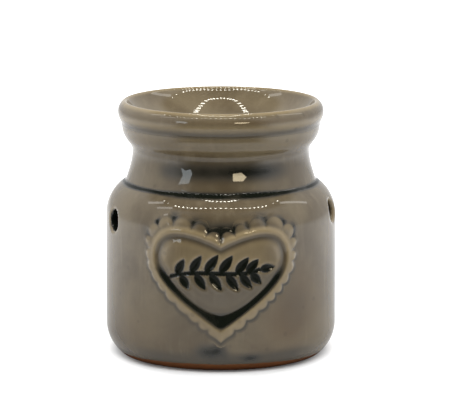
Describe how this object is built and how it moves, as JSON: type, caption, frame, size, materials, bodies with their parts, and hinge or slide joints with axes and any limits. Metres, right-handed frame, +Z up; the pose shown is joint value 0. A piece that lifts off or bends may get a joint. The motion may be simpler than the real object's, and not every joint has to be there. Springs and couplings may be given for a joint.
{
  "type": "oil burner",
  "caption": "Small glazed pottery oil burner: round pot with a waisted neck, rolled-rim oil dish, scalloped heart plaque, air vents, and a tealight that slides in through a rear arch.",
  "frame": {"origin": "centre of the foot, in the plane the burner rests on", "axes": "+Z up along the pot's axis; the heart plaque faces -Y and the candle doorway faces +Y"},
  "size_m": [0.076, 0.0773, 0.0838],
  "materials": {
    "glaze": "glossy olive-brown glaze",
    "cup_aluminium": "thin drawn foil",
    "wax": "paraffin wax",
    "wick_cotton": "braided cotton",
    "tinplate": "tinplate"
  },
  "bodies": {
    "burner": {"burner_body": "glaze", "oil_dish": "glaze", "heart_plaque": "glaze"},
    "tealight": {"tealight_cup": "cup_aluminium", "tealight_wax": "wax", "tealight_wick": "wick_cotton", "wick_sustainer": "tinplate"}
  },
  "joints": [
    {"name": "tealight_slide", "type": "slide", "parent": "burner", "child": "tealight", "axis": [0, 1, 0], "range_m": [0, 0.062]}
  ]
}
